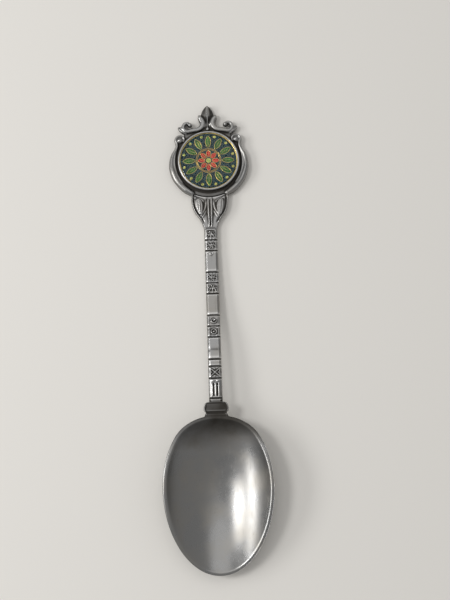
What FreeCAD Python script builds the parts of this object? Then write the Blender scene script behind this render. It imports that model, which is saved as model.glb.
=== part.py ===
import FreeCAD, Part
import math
import os

import Sketcher

# A plated souvenir spoon lying on its back: X across, +Y from the bowl to the crest, +Z up.
# The origin is on the table, half way along. Lengths are in millimetres, angles in degrees.

document = FreeCAD.newDocument("SouvenirSpoon")
sheet = document.addObject("Spreadsheet::Sheet", "Sizes")

drivingSizes = {
    # whole spoon
    "overallLength": 113.0,
    # bowl
    "bowlLength": 36.3,
    "bowlWidth": 25.55,
    "bowlWall": 0.9,
    "tipToDeepest": 19.3,
    "sideRimHeight": 6.4,
    "tipRimHeight": 3.6,
    "neckRimHeight": 5.3,
    "tipRimWidth": 1.4,
    "trimClearance": 1.0,
    "heelLength": 4.8,
    "heelApproachRadius": 38.2,
    # stem and neck
    "stemWidth": 3.15,
    "stemThickness": 1.35,
    "stemFootHeight": 1.65,
    "stemNeckHeight": 4.9,
    "stemUndercut": 0.3,
    "bevelWidth": 0.42,
    "bevelDrop": 0.3,
    "panelRise": 0.25,
    "neckLength": 3.2,
    "earWidth": 5.7,
    "earRise": 2.0,
    "earRadius": 1.1,
    "notchWidth": 4.74,
    "notchRise": 0.8,
    "notchRadius": 0.8,
    # crossing grooves that part the stem into panels
    "grooveWidth": 0.34,
    "motifLength": 2.65,
    "plainLength": 5.35,
    "saltireLength": 2.8,
    "collarLength": 1.7,
    "fluteLength": 2.8,
    "fluteWidth": 0.7,
    "fluteOffset": 0.52,
    "fluteDepth": 0.45,
    # leaf bracket under the crest
    "bracketLength": 9.1,
    "bracketTopWidth": 8.8,
    "bracketWaistWidth": 7.3,
    "bracketWaistRise": 4.1,
    "bracketFlareRadius": 9.0,
    "bracketSideRadius": 8.0,
    "leafLength": 5.2,
    "leafWidth": 2.2,
    "leafRise": 0.5,
    "leafLean": 8.0,
    "leafDrop": 3.3,
    "ribWidth": 1.1,
    "ribLength": 7.0,
    "vineLength": 3.8,
    "vineWidth": 0.6,
    "vineOffset": 1.0,
    "vineRise": 2.2,
    "vineLean": 27.0,
    "cornerCurlRadius": 0.5,
    "tongueLength": 4.5,
    "tongueWidth": 5.0,
    "tongueThickness": 0.6,
    "solderGap": 0.1,
    "jointGap": 0.05,
    # crest
    "finialReach": 14.4,
    "bandWidth": 1.9,
    "curlWidth": 1.1,
    "bandFootAngle": 66.0,
    "bandLeaveAngle": 14.0,
    "strandHeight": 1.12,
    "webThickness": 1.0,
    "seatHeight": 1.3,
    "moatWidth": 0.55,
    "shoulderRiseRadius": 12.0,
    "shoulderRiseAngle": 19.0,
    "shoulderCurlRadius": 1.25,
    "shoulderCurlAngle": 160.0,
    "shoulderEyeRadius": 0.8,
    "scrollStartX": 2.35,
    "scrollStartY": 11.5,
    "scrollStartHeading": 200.0,
    "scrollWidth": 1.3,
    "scrollRadius": 1.75,
    "scrollAngle": 155.0,
    "scrollRunRadius": 12.0,
    "scrollRunAngle": 9.0,
    "hookRadius": 1.1,
    "hookAngle": 165.0,
    "hookEyeRadius": 0.6,
    "innerCurlRatio": 0.7,
    "innerCurlAngle": 100.0,
    "finialBaseY": 8.4,
    "finialBaseWidth": 1.0,
    "finialShoulderY": 11.9,
    "finialShoulderWidth": 3.2,
    "finialTipWidth": 0.3,
    "finialHollowRadius": 7.0,
    "finialTipRadius": 3.5,
    "finialThickness": 1.5,
    "spineLength": 5.4,
    "spineWidth": 1.0,
    "sidePetalLength": 3.8,
    "sidePetalWidth": 1.5,
    "sidePetalX": 1.3,
    "sidePetalY": 10.3,
    "sidePetalLean": 25.0,
    "petalThickness": 1.8,
    "beadRadius": 0.55,
    # badge
    "cupRadius": 7.5,
    "cupWall": 0.3,
    "cupFloor": 0.25,
    "lipWidth": 0.2,
    "lipThickness": 0.17,
    "lipClearance": 0.06,
    "adhesiveThickness": 0.1,
    "plateThickness": 0.25,
    "enamelDepth": 0.2,
    "badgeClearance": 0.05,
    "enamelClearance": 0.01,
    "wireWidth": 0.1,
    "borderWidth": 0.3,
    "ribbonInnerRadius": 5.0,
    "ribbonHalfAngle": 52.0,
    "sprigStemWidth": 0.8,
    "sprigStemTop": 1.0,
    "fanCentreY": 0.5,
    "fanStartAngle": 0.0,
    "fanStep": 30.0,
    "longLeafPlace": 3.1,
    "longLeafLength": 3.6,
    "longLeafWidth": 1.15,
    "shortLeafPlace": 4.9,
    "shortLeafLength": 1.7,
    "shortLeafWidth": 0.8,
    "flowerX": 3.7,
    "flowerDrop": 1.7,
    "flowerRadius": 0.68,
    "flowerPetalRadius": 0.31,
    "lensRise": 0.95,
    "lensEdge": 0.12,
}

longLeafCount = 7
shortLeafCount = 6
flowerPetalCount = 5
panelRepeats = 3
sides = ((1, "right"), (-1, "left"))


# ---- sizes as a number together with the sheet formula that gives it ----

class Size:
    def __init__(self, value, formula):
        self.value = value
        self.formula = formula

    def __add__(self, other):
        other = asSize(other)
        return Size(self.value + other.value, f"({self.formula} + {other.formula})")

    def __sub__(self, other):
        other = asSize(other)
        return Size(self.value - other.value, f"({self.formula} - {other.formula})")

    def __mul__(self, other):
        other = asSize(other)
        return Size(self.value * other.value, f"({self.formula} * {other.formula})")

    def __truediv__(self, other):
        other = asSize(other)
        return Size(self.value / other.value, f"({self.formula} / {other.formula})")

    def __rsub__(self, other):
        return asSize(other) - self

    def __neg__(self):
        return Size(-self.value, f"(0 - {self.formula})")

    __radd__ = __add__
    __rmul__ = __mul__


def asSize(number):
    return number if isinstance(number, Size) else Size(float(number), repr(float(number)))


def squareRoot(size):
    return Size(math.sqrt(size.value), f"sqrt({size.formula})")


def sine(angle):
    angle = asSize(angle)
    return Size(math.sin(math.radians(angle.value)), f"sin({angle.formula})")


def cosine(angle):
    angle = asSize(angle)
    return Size(math.cos(math.radians(angle.value)), f"cos({angle.formula})")


def distance(start, end):
    across = end[0] - start[0]
    along = end[1] - start[1]
    return squareRoot(across * across + along * along)


def radiusThrough(start, middle, end):
    # circumscribed circle: product of the sides over four times the area
    sides = distance(start, middle) * distance(middle, end) * distance(start, end)
    turn = (middle[0] - start[0]) * (end[1] - start[1]) - (end[0] - start[0]) * (middle[1] - start[1])
    return sides / (2 * turn)


def radiusFrom(start, tangent, end):
    # the arc that leaves start along the unit tangent and ends at end
    chord = (end[0] - start[0], end[1] - start[1])
    turn = tangent[0] * chord[1] - tangent[1] * chord[0]
    return (chord[0] * chord[0] + chord[1] * chord[1]) / (2 * turn)


sizes = {}
for row, (alias, number) in enumerate(drivingSizes.items(), start=1):
    sheet.set(f"A{row}", alias)
    sheet.set(f"B{row}", str(number))
    sheet.setAlias(f"B{row}", alias)
    sizes[alias] = Size(number, f"Sizes.{alias}")
document.recompute()


# ---- places that several sub-parts share ----

tipY = -sizes["overallLength"] / 2
neckY = tipY + sizes["bowlLength"]
deepestY = tipY + sizes["tipToDeepest"]
crestY = sizes["overallLength"] / 2 - sizes["finialReach"]
moatRadius = sizes["cupRadius"] + sizes["moatWidth"]
bandRadius = moatRadius + sizes["bandWidth"] / 2
bracketEdgeRadius = bandRadius + sizes["jointGap"]
bracketTopY = crestY - squareRoot(
    bracketEdgeRadius * bracketEdgeRadius - sizes["bracketTopWidth"] * sizes["bracketTopWidth"] / 4)
bracketFootY = bracketTopY - sizes["bracketLength"] - sizes["jointGap"]
undersideHeight = sizes["stemFootHeight"] - sizes["stemThickness"]
tongueTop = undersideHeight + sizes["tongueThickness"]
tongueEndY = crestY - bandRadius + sizes["tongueLength"]
innerCupRadius = sizes["cupRadius"] - sizes["cupWall"]
badgeRadius = innerCupRadius - sizes["badgeClearance"]
badgeFloor = sizes["seatHeight"] + sizes["cupFloor"] + sizes["adhesiveThickness"]
enamelFloor = badgeFloor + sizes["plateThickness"]
enamelTop = enamelFloor + sizes["enamelDepth"]
groundRadius = badgeRadius - sizes["borderWidth"]


# ---- drawing helpers ----

def bind(item, path, size):
    item.setExpression(path, asSize(size).formula)


def newBody(label, y=0, z=0):
    body = document.addObject("PartDesign::Body", label)
    body.Label = label
    body.AllowCompound = True
    bind(body, "Placement.Base.y", y)
    bind(body, "Placement.Base.z", z)
    return body


def originItem(body, role):
    return next(item for item in body.Origin.OriginFeatures if item.Role == role)


def attach(item, body, role, x=0, y=0, z=0, turn=0):
    item.AttachmentSupport = [(originItem(body, role), "")]
    item.MapMode = "FlatFace"
    bind(item, "AttachmentOffset.Base.x", x)
    bind(item, "AttachmentOffset.Base.y", y)
    bind(item, "AttachmentOffset.Base.z", z)
    bind(item, "AttachmentOffset.Rotation.Angle", turn)


def newSketch(body, name, role, x=0, y=0, z=0, turn=0):
    sketch = body.newObject("Sketcher::SketchObject", f"{body.Label}_{name}")
    attach(sketch, body, role, x, y, z, turn)
    return sketch


def holdPoint(sketch, edge, end, point):
    axes = (("DistanceX", point[0], -2), ("DistanceY", point[1], -1))
    for kind, size, axis in axes:
        size = asSize(size)
        if size.value == 0:
            sketch.addConstraint(Sketcher.Constraint("PointOnObject", edge, end, axis))
        else:
            hold = Sketcher.Constraint(kind, -1, 1, edge, end, size.value)
            bind(sketch, f"Constraints[{sketch.addConstraint(hold)}]", size)


def holdRadius(sketch, edge, radius):
    hold = Sketcher.Constraint("Radius", edge, abs(radius.value))
    if radius.value < 0:
        radius = -radius
    bind(sketch, f"Constraints[{sketch.addConstraint(hold)}]", radius)


def vector(point):
    return FreeCAD.Vector(asSize(point[0]).value, asSize(point[1]).value, 0)


def addEdge(sketch, start, end, radius=None):
    # a positive radius turns left from start to end, a negative one turns right
    first, last = vector(start), vector(end)
    if radius is None:
        edge = sketch.addGeometry(Part.LineSegment(first, last), False)
        return edge, 1, 2
    chord = last - first
    half = chord.Length / 2
    rise = abs(radius.value) - math.sqrt(radius.value ** 2 - half ** 2)
    right = FreeCAD.Vector(chord.y, -chord.x, 0).normalize()
    middle = (first + last) * 0.5 + right * math.copysign(rise, radius.value)
    if radius.value > 0:
        edge = sketch.addGeometry(Part.Arc(first, middle, last), False)
        ends = (1, 2)
    else:
        edge = sketch.addGeometry(Part.Arc(last, middle, first), False)
        ends = (2, 1)
    holdRadius(sketch, edge, radius)
    return edge, *ends


def drawPath(sketch, corners, closed):
    # each corner is (x, y) or (x, y, radius of the arc to the next corner)
    count = len(corners) if closed else len(corners) - 1
    edges = []
    for index in range(count):
        start = corners[index]
        end = corners[(index + 1) % len(corners)]
        edges.append(addEdge(sketch, start[:2], end[:2], *start[2:]))
    for index, (edge, first, last) in enumerate(edges):
        holdPoint(sketch, edge, first, corners[index][:2])
        if index + 1 < len(edges) or closed:
            following, followingFirst, _ = edges[(index + 1) % len(edges)]
            join = Sketcher.Constraint("Coincident", edge, last, following, followingFirst)
            sketch.addConstraint(join)
        else:
            holdPoint(sketch, edge, last, corners[-1][:2])
    return sketch


def drawCircle(sketch, x, y, radius):
    centre = vector((x, y))
    circle = Part.Circle(centre, FreeCAD.Vector(0, 0, 1), radius.value)
    edge = sketch.addGeometry(circle, False)
    holdPoint(sketch, edge, 3, (x, y))
    holdRadius(sketch, edge, radius)
    return sketch


def drawRectangle(sketch, left, right, bottom, top):
    return drawPath(sketch, [(left, bottom), (right, bottom), (right, top), (left, top)], True)


def mirrorCorners(corners):
    # runs up the right side as given, and back down the left side as its mirror image
    mirrored = [(-corners[-1][0], corners[-1][1])]
    for corner, before in zip(corners[-1:0:-1], corners[-2::-1]):
        mirrored[-1] = (*mirrored[-1][:2], *before[2:])
        mirrored.append((-before[0], before[1]))
    return [*corners, *mirrored]


def pad(body, name, sketch, length):
    feature = body.newObject("PartDesign::Pad", f"{body.Label}_{name}")
    feature.Profile = sketch
    bind(feature, "Length", length)
    return finish(body, feature)


def pocket(body, name, sketch, length=None, upward=False):
    feature = body.newObject("PartDesign::Pocket", f"{body.Label}_{name}")
    feature.Profile = sketch
    feature.Reversed = upward
    if length is None:
        feature.Type = "ThroughAll"
    else:
        bind(feature, "Length", length)
    return finish(body, feature)


def turned(body, kind, name, sketch, axis):
    feature = body.newObject(f"PartDesign::{kind}", f"{body.Label}_{name}")
    feature.Profile = sketch
    feature.ReferenceAxis = axis
    return finish(body, feature)


def pipe(body, name, spine, profile):
    feature = body.newObject("PartDesign::AdditivePipe", f"{body.Label}_{name}")
    feature.Profile = profile
    feature.Spine = spine
    return finish(body, feature)


def ball(body, name, x, y, z, radius):
    feature = body.newObject("PartDesign::AdditiveSphere", f"{body.Label}_{name}")
    attach(feature, body, "XY_Plane", x, y, z)
    bind(feature, "Radius", radius)
    return finish(body, feature)


def petal(body, name, x, y, z, length, width, thickness, turn=0):
    feature = body.newObject("PartDesign::AdditiveEllipsoid", f"{body.Label}_{name}")
    attach(feature, body, "XY_Plane", x, y, z, turn)
    bind(feature, "Radius1", thickness / 2)
    bind(feature, "Radius2", width / 2)
    bind(feature, "Radius3", length / 2)
    return finish(body, feature)


def around(body, name, features, sketch, sweep, count):
    # repeats about the sketch's own normal; an open sweep has a repeat at both its ends
    feature = body.newObject("PartDesign::PolarPattern", f"{body.Label}_{name}")
    feature.Originals = features
    feature.Axis = (sketch, ["N_Axis"])
    bind(feature, "Angle", sweep)
    feature.Occurrences = count
    return finish(body, feature)


def finish(body, feature):
    body.Tip = feature
    document.recompute()
    return feature


# ---- spoon blank: bowl, neck, stem, leaf bracket and the tongue under the crest ----

# The bowl is turned about an axis parallel to Y, so high over it that every
# cross-section is an arc, and its rim is then trimmed along an arch in side view.
bowlAxisHeight = (sizes["bowlWidth"] * sizes["bowlWidth"] / 4
                  + sizes["sideRimHeight"] * sizes["sideRimHeight"]) / (2 * sizes["sideRimHeight"])
heelY = neckY - sizes["heelLength"]


def heelArcs(wall):
    # two tangent arcs from the deepest point to the neck, moved inwards by wall
    approach = sizes["heelApproachRadius"]
    lean = (heelY - deepestY) / approach
    tangent = (squareRoot(1 - lean * lean), lean)
    outer = (heelY, approach - approach * tangent[0])
    neck = (neckY, sizes["neckRimHeight"])
    heel = radiusFrom(outer, tangent, neck)
    centre = (outer[0] - heel * tangent[1], outer[1] + heel * tangent[0])
    shift = wall / heel
    return [
        (deepestY, wall, approach - wall),
        (outer[0] - wall * tangent[1], outer[1] + wall * tangent[0], heel - wall),
        (neck[0] + (centre[0] - neck[0]) * shift, neck[1] + (centre[1] - neck[1]) * shift),
    ]


def tipArc(wall, rimWidth):
    # the radius of the arc that is level at the deepest point and meets the rim's height near the tip
    run = sizes["tipToDeepest"] - rimWidth
    climb = sizes["tipRimHeight"] - wall
    radius = (run * run + climb * climb) / (2 * climb)
    reach = sizes["tipToDeepest"]
    return (tipY, wall + radius - squareRoot(radius * radius - reach * reach), radius)


def bowlProfile(body, name, wall, rimWidth):
    sketch = newSketch(body, name, "YZ_Plane", y=bowlAxisHeight)
    corners = [tipArc(asSize(wall), asSize(rimWidth)), *heelArcs(asSize(wall))]
    corners.append((corners[-1][0], bowlAxisHeight))
    corners.append((tipY, bowlAxisHeight))
    lowered = [(corner[0], corner[1] - bowlAxisHeight, *corner[2:]) for corner in corners]
    return drawPath(sketch, lowered, True)


def addBowl(body):
    sketch = bowlProfile(body, "bowl_profile", 0, 0)
    turned(body, "Revolution", "bowl", sketch, (sketch, ["H_Axis"]))
    tip = (tipY, sizes["tipRimHeight"])
    side = (deepestY, sizes["sideRimHeight"])
    neck = (neckY, sizes["neckRimHeight"])
    clear = 2 * bowlAxisHeight
    outsideY = tipY - sizes["trimClearance"]
    trim = newSketch(body, "rim_line", "YZ_Plane", z=-bowlAxisHeight)
    drawPath(trim, [(*tip, radiusThrough(tip, side, neck)), neck, (neckY, clear),
                    (outsideY, clear), (outsideY, sizes["tipRimHeight"])], True)
    pocket(body, "rim_trim", trim, 2 * bowlAxisHeight, upward=True)


def hollowBowl(body):
    sketch = bowlProfile(body, "hollow_profile", sizes["bowlWall"], sizes["tipRimWidth"])
    turned(body, "Groove", "hollow", sketch, (sketch, ["H_Axis"]))


# The stem climbs from the bracket to the neck in an ogee of two equal arcs.
stemStartY = bracketFootY + sizes["bevelWidth"]
ogeeFootY = bracketFootY - sizes["motifLength"]
ogeeTopY = neckY + sizes["neckLength"] / 2


def stemSpine(body, name):
    rise = sizes["stemNeckHeight"] - sizes["stemFootHeight"]
    run = ogeeFootY - ogeeTopY
    radius = (run * run + rise * rise) / (4 * rise)
    middle = ((ogeeFootY + ogeeTopY) / 2, (sizes["stemNeckHeight"] + sizes["stemFootHeight"]) / 2)
    return drawPath(newSketch(body, name, "YZ_Plane"), [
        (stemStartY, sizes["stemFootHeight"]),
        (ogeeFootY, sizes["stemFootHeight"], -radius),
        (*middle, radius),
        (ogeeTopY, sizes["stemNeckHeight"]),
        (neckY, sizes["stemNeckHeight"]),
    ], False)


def addPanels(body):
    half = sizes["stemWidth"] / 2 - sizes["bevelWidth"]
    profile = newSketch(body, "panel_section", "XZ_Plane", y=sizes["stemFootHeight"], z=-stemStartY)
    drawRectangle(profile, -half, half, 0, sizes["panelRise"])
    panels = pipe(body, "panels", stemSpine(body, "panel_line"), profile)
    firstGroove = bracketFootY - sizes["motifLength"]
    secondGroove = firstGroove - sizes["motifLength"]
    thirdGroove = secondGroove - sizes["plainLength"]
    pitch = 2 * sizes["motifLength"] + sizes["plainLength"]
    lastGroove = thirdGroove - (panelRepeats - 1) * pitch
    collarGroove = lastGroove - sizes["collarLength"]
    saltireGroove = collarGroove - sizes["saltireLength"]
    places = [collarGroove, saltireGroove]
    for repeat in range(panelRepeats):
        for groove in (firstGroove, secondGroove, thirdGroove):
            places.append(groove - repeat * pitch)
    cuts = newSketch(body, "grooves", "XY_Plane")
    for place in places:
        drawRectangle(cuts, -sizes["stemWidth"], sizes["stemWidth"],
                      place - sizes["grooveWidth"] / 2, place + sizes["grooveWidth"] / 2)
    pocket(body, "groove_cuts", cuts, upward=True)
    return saltireGroove


def addStem(body):
    half = sizes["stemWidth"] / 2
    profile = newSketch(body, "stem_section", "XZ_Plane", y=sizes["stemFootHeight"], z=-stemStartY)
    drawPath(profile, mirrorCorners([
        (half - sizes["stemUndercut"], -sizes["stemThickness"]),
        (half, -sizes["bevelDrop"]),
        (half - sizes["bevelWidth"], 0),
    ]), True)
    pipe(body, "stem", stemSpine(body, "stem_line"), profile)


def addNeck(body):
    # small ears stand out where the stem ends, then a notch flares into the bowl
    half = sizes["stemWidth"] / 2
    ear = sizes["earWidth"] / 2
    notch = sizes["notchWidth"] / 2
    bottomY = neckY - sizes["bowlWall"]
    outline = newSketch(body, "neck_outline", "XY_Plane",
                        z=sizes["stemNeckHeight"] - sizes["stemThickness"])
    drawPath(outline, mirrorCorners([
        (notch + sizes["bowlWall"], bottomY),
        (notch, neckY + sizes["notchRise"], sizes["notchRadius"]),
        (ear, neckY + sizes["earRise"], sizes["earRadius"]),
        (half, neckY + sizes["neckLength"]),
    ]), True)
    pad(body, "neck", outline, sizes["stemThickness"] + sizes["panelRise"])


def cutFlutes(body, startY):
    z = sizes["stemNeckHeight"] + sizes["panelRise"] - sizes["fluteDepth"]
    cuts = newSketch(body, "flutes", "XY_Plane", z=z)
    middle = sizes["fluteOffset"]
    top = startY - sizes["grooveWidth"]
    bottom = top - sizes["fluteLength"]
    for side, _ in sides:
        drawRectangle(cuts, side * middle - sizes["fluteWidth"] / 2,
                      side * middle + sizes["fluteWidth"] / 2, bottom, top)
    pocket(body, "flute_cuts", cuts, 2 * sizes["fluteDepth"], upward=True)


def addBracket(body):
    # a shield whose top edge is hollowed to follow the crest
    outline = newSketch(body, "bracket_outline", "XY_Plane", z=undersideHeight)
    foot = sizes["stemWidth"] / 2
    waist = sizes["bracketWaistWidth"] / 2
    top = sizes["bracketTopWidth"] / 2
    corners = mirrorCorners([
        (foot, bracketFootY, -sizes["bracketFlareRadius"]),
        (waist, bracketFootY + sizes["bracketWaistRise"], sizes["bracketSideRadius"]),
        (top, bracketTopY),
    ])
    middle = len(corners) // 2
    corners[middle - 1] = (top, bracketTopY, -bracketEdgeRadius)
    drawPath(outline, corners, True)
    pad(body, "bracket", outline, sizes["stemThickness"])
    topHeight = undersideHeight + sizes["stemThickness"]
    leafY = bracketTopY - sizes["leafDrop"]
    thickness = 2 * sizes["leafRise"]
    for side, name in sides:
        petal(body, f"{name}_leaf", side * sizes["leafWidth"], leafY, topHeight,
              sizes["leafLength"], sizes["leafWidth"], thickness, side * sizes["leafLean"])
        petal(body, f"{name}_vine", side * sizes["vineOffset"], bracketFootY + sizes["vineRise"],
              topHeight, sizes["vineLength"], sizes["vineWidth"], thickness / 2,
              -side * sizes["vineLean"])
        ball(body, f"{name}_corner_curl", side * (top - 2 * sizes["cornerCurlRadius"]),
             bracketTopY - sizes["cornerCurlRadius"], topHeight, sizes["cornerCurlRadius"])
    petal(body, "rib", 0, bracketTopY - sizes["ribLength"] / 2, topHeight, sizes["ribLength"],
          sizes["ribWidth"], thickness)


def addTongue(body):
    outline = newSketch(body, "tongue_outline", "XY_Plane", z=undersideHeight)
    half = sizes["tongueWidth"] / 2
    drawRectangle(outline, -half, half, bracketTopY - sizes["bracketLength"] / 2, tongueEndY)
    pad(body, "tongue", outline, sizes["tongueThickness"])


def makeSpoonBlank():
    body = newBody("spoon_blank")
    saltireGroove = addPanels(body)
    addStem(body)
    addBowl(body)
    addNeck(body)
    cutFlutes(body, saltireGroove)
    addBracket(body)
    addTongue(body)
    hollowBowl(body)
    return body


# ---- crest: cast scrollwork round the badge, with a three-petalled finial ----

def scrollPath(start, heading, arcs):
    # tangent arcs one after another; each is (radius, angle), a negative radius turns right
    corners = []
    x, y = start
    for radius, angle in arcs:
        corners.append((x, y, radius))
        onward = heading + angle if radius.value > 0 else heading - angle
        x = x + radius * (sine(onward) - sine(heading))
        y = y - radius * (cosine(onward) - cosine(heading))
        heading = onward
    return [*corners, (x, y)]


def addStrand(body, name, side, corners, width):
    # a round strand along tangent arcs
    corners = [(side * corner[0], corner[1], *(side * radius for radius in corner[2:]))
               for corner in corners]
    corners[-1] = corners[-1][:2]
    spine = newSketch(body, f"{name}_line", "XY_Plane", z=sizes["strandHeight"])
    drawPath(spine, corners, False)
    document.recompute()
    section = body.newObject("Sketcher::SketchObject", f"{body.Label}_{name}_section")
    section.AttachmentSupport = [(spine, "Edge1")]
    section.MapMode = "NormalToEdge"
    section.MapPathParameter = 0 if corners[0][2].value > 0 else 1
    drawCircle(section, 0, 0, width / 2)
    document.recompute()
    pipe(body, name, spine, section)


def addWeb(body, band, scroll):
    # the flat backing between the strands
    outline = newSketch(body, "web_outline", "XY_Plane")
    hook = (scroll[2][0], scroll[2][1] + sizes["hookRadius"])
    corners = [band[1], band[2], hook, scroll[1], scroll[0]]
    drawPath(outline, mirrorCorners([corner[:2] for corner in corners]), True)
    pad(body, "web", outline, sizes["webThickness"])


def addFinial(body):
    # a pointed blade with a raised spine, between two leaning petals, over a bead
    outline = newSketch(body, "finial_outline", "XY_Plane")
    drawPath(outline, mirrorCorners([
        (sizes["finialBaseWidth"] / 2, sizes["finialBaseY"], -sizes["finialHollowRadius"]),
        (sizes["finialShoulderWidth"] / 2, sizes["finialShoulderY"], sizes["finialTipRadius"]),
        (sizes["finialTipWidth"] / 2, sizes["finialReach"]),
    ]), True)
    pad(body, "finial", outline, sizes["finialThickness"])
    z = sizes["strandHeight"]
    for side, name in sides:
        petal(body, f"{name}_petal", side * sizes["sidePetalX"], sizes["sidePetalY"], z,
              sizes["sidePetalLength"], sizes["sidePetalWidth"], sizes["petalThickness"],
              -side * sizes["sidePetalLean"])
    petal(body, "spine", 0, sizes["finialReach"] - sizes["spineLength"] / 2 - sizes["finialTipWidth"],
          z, sizes["spineLength"], sizes["spineWidth"], sizes["petalThickness"])
    ball(body, "bead", 0, sizes["finialBaseY"], z, sizes["beadRadius"])


def cutCrestSeats(body):
    # an edge that meets the bracket, and a recess for its tongue
    edge = newSketch(body, "joint_outline", "XY_Plane")
    radius = bandRadius + sizes["jointGap"] / 2
    half = sizes["bracketTopWidth"] / 2 + sizes["jointGap"]
    topY = -squareRoot(radius * radius - half * half)
    bottomY = -radius - sizes["bandWidth"]
    drawPath(edge, [(-half, bottomY), (half, bottomY), (half, topY, -radius), (-half, topY)], True)
    pocket(body, "joint", edge, upward=True)
    recess = newSketch(body, "recess_outline", "XY_Plane")
    half = sizes["tongueWidth"] / 2 + sizes["jointGap"]
    drawRectangle(recess, -half, half, bottomY, tongueEndY - crestY + sizes["jointGap"])
    pocket(body, "recess", recess, tongueTop + sizes["solderGap"], upward=True)


def makeCrestFrame():
    body = newBody("crest_frame", y=crestY)
    foot = sizes["bandFootAngle"]
    band = scrollPath((bandRadius * cosine(-foot), bandRadius * sine(-foot)), 90 - foot, [
        (bandRadius, foot + sizes["bandLeaveAngle"]),
        (-sizes["shoulderRiseRadius"], sizes["shoulderRiseAngle"]),
        (sizes["shoulderCurlRadius"], sizes["shoulderCurlAngle"]),
        (sizes["shoulderCurlRadius"] * sizes["innerCurlRatio"], sizes["innerCurlAngle"]),
    ])
    start = (sizes["scrollStartX"], sizes["scrollStartY"])
    scroll = scrollPath(start, sizes["scrollStartHeading"], [
        (sizes["scrollRadius"], sizes["scrollAngle"]),
        (-sizes["scrollRunRadius"], sizes["scrollRunAngle"]),
        (sizes["hookRadius"], sizes["hookAngle"]),
        (sizes["hookRadius"] * sizes["innerCurlRatio"], sizes["innerCurlAngle"]),
    ])
    seat = drawCircle(newSketch(body, "seat_circle", "XY_Plane"), 0, 0, bandRadius)
    pad(body, "seat", seat, sizes["seatHeight"])
    strands = (("scroll", scroll, sizes["scrollWidth"]), ("band", band[:2], sizes["bandWidth"]),
               ("curl", band[1:], sizes["curlWidth"]))
    for strand, corners, width in strands:
        for side, name in sides:
            addStrand(body, f"{name}_{strand}", side, corners, width)
    for side, name in sides:
        for eye, end, radius in (("shoulder_eye", band[-1], sizes["shoulderEyeRadius"]),
                                 ("hook_eye", scroll[-1], sizes["hookEyeRadius"])):
            ball(body, f"{name}_{eye}", side * end[0], end[1], sizes["strandHeight"], radius)
    addFinial(body)
    addWeb(body, band, scroll)
    cutCrestSeats(body)
    return body


def makeCrestSolder():
    body = newBody("crest_solder", z=tongueTop)
    half = sizes["tongueWidth"] / 2
    outline = newSketch(body, "outline", "XY_Plane")
    drawRectangle(outline, -half, half, crestY - bandRadius + sizes["jointGap"], tongueEndY)
    pad(body, "film", outline, sizes["solderGap"])
    return body


# ---- badge: a rolled cup, a struck plate with enamel in its cells, and a clear dome ----

def newDisc(label, z, radius, thickness):
    body = newBody(label, y=crestY, z=z)
    circle = drawCircle(newSketch(body, "circle", "XY_Plane"), 0, 0, radius)
    pad(body, "disc", circle, thickness)
    return body


def makeBadgeCup():
    body = newBody("badge_cup", y=crestY, z=sizes["seatHeight"])
    profile = newSketch(body, "profile", "XZ_Plane")
    lipUnderside = enamelTop + sizes["lensEdge"] + sizes["lipClearance"] - sizes["seatHeight"]
    lipTop = lipUnderside + sizes["lipThickness"]
    lipEdge = innerCupRadius - sizes["lipWidth"]
    drawPath(profile, [
        (0, 0), (sizes["cupRadius"], 0), (sizes["cupRadius"], lipTop), (lipEdge, lipTop),
        (lipEdge, lipUnderside), (innerCupRadius, lipUnderside), (innerCupRadius, sizes["cupFloor"]),
        (0, sizes["cupFloor"]),
    ], True)
    turned(body, "Revolution", "cup", profile, (profile, ["V_Axis"]))
    return body


def drawRibbon(sketch, margin):
    # a ring sector centred below the badge, widened by margin on every side
    outer = groundRadius + margin
    inner = sizes["ribbonInnerRadius"] - margin
    across, down = sine(sizes["ribbonHalfAngle"]), cosine(sizes["ribbonHalfAngle"])
    ends = [(radius * across + margin * down, margin * across - radius * down)
            for radius in (outer, inner)]
    outerArc = squareRoot(outer * outer + margin * margin)
    innerArc = squareRoot(inner * inner + margin * margin)
    return drawPath(sketch, [(-ends[0][0], ends[0][1], outerArc), ends[0],
                             (*ends[1], -innerArc), (-ends[1][0], ends[1][1])], True)


def ribbon(body, name, make, margin, z=0, **options):
    sketch = newSketch(body, f"{name}_outline", "XY_Plane", z=z)
    make(body, name, drawRibbon(sketch, asSize(margin)), **options)


def sprigStem(body, name, make, margin, z=0, **options):
    half = sizes["sprigStemWidth"] / 2 + margin
    bottom = -sizes["ribbonInnerRadius"] + sizes["wireWidth"] - margin
    sketch = newSketch(body, f"{name}_outline", "XY_Plane", z=z)
    drawRectangle(sketch, -half, half, bottom, sizes["sprigStemTop"] + margin)
    make(body, name, sketch, **options)


def leafFan(body, name, make, margin, z=0, **options):
    # pointed leaves of two equal arcs, which fan out from the head of the sprig's stem
    fans = (("long", longLeafCount, sizes["fanStartAngle"]),
            ("short", shortLeafCount, sizes["fanStartAngle"] + sizes["fanStep"] / 2))
    for kind, count, startAngle in fans:
        sketch = newSketch(body, f"{name}_{kind}_outline", "XY_Plane", y=sizes["fanCentreY"], z=z,
                           turn=startAngle)
        length = sizes[f"{kind}LeafLength"] / 2 + 2 * margin
        width = sizes[f"{kind}LeafWidth"] / 2 + margin
        radius = (length * length + width * width) / (2 * width)
        middle = sizes[f"{kind}LeafPlace"]
        drawPath(sketch, [(middle - length, 0, radius), (middle + length, 0, radius)], True)
        first = make(body, f"{name}_{kind}", sketch, **options)
        around(body, f"{name}_{kind}_fan", [first], sketch, sizes["fanStep"] * (count - 1), count)


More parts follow.
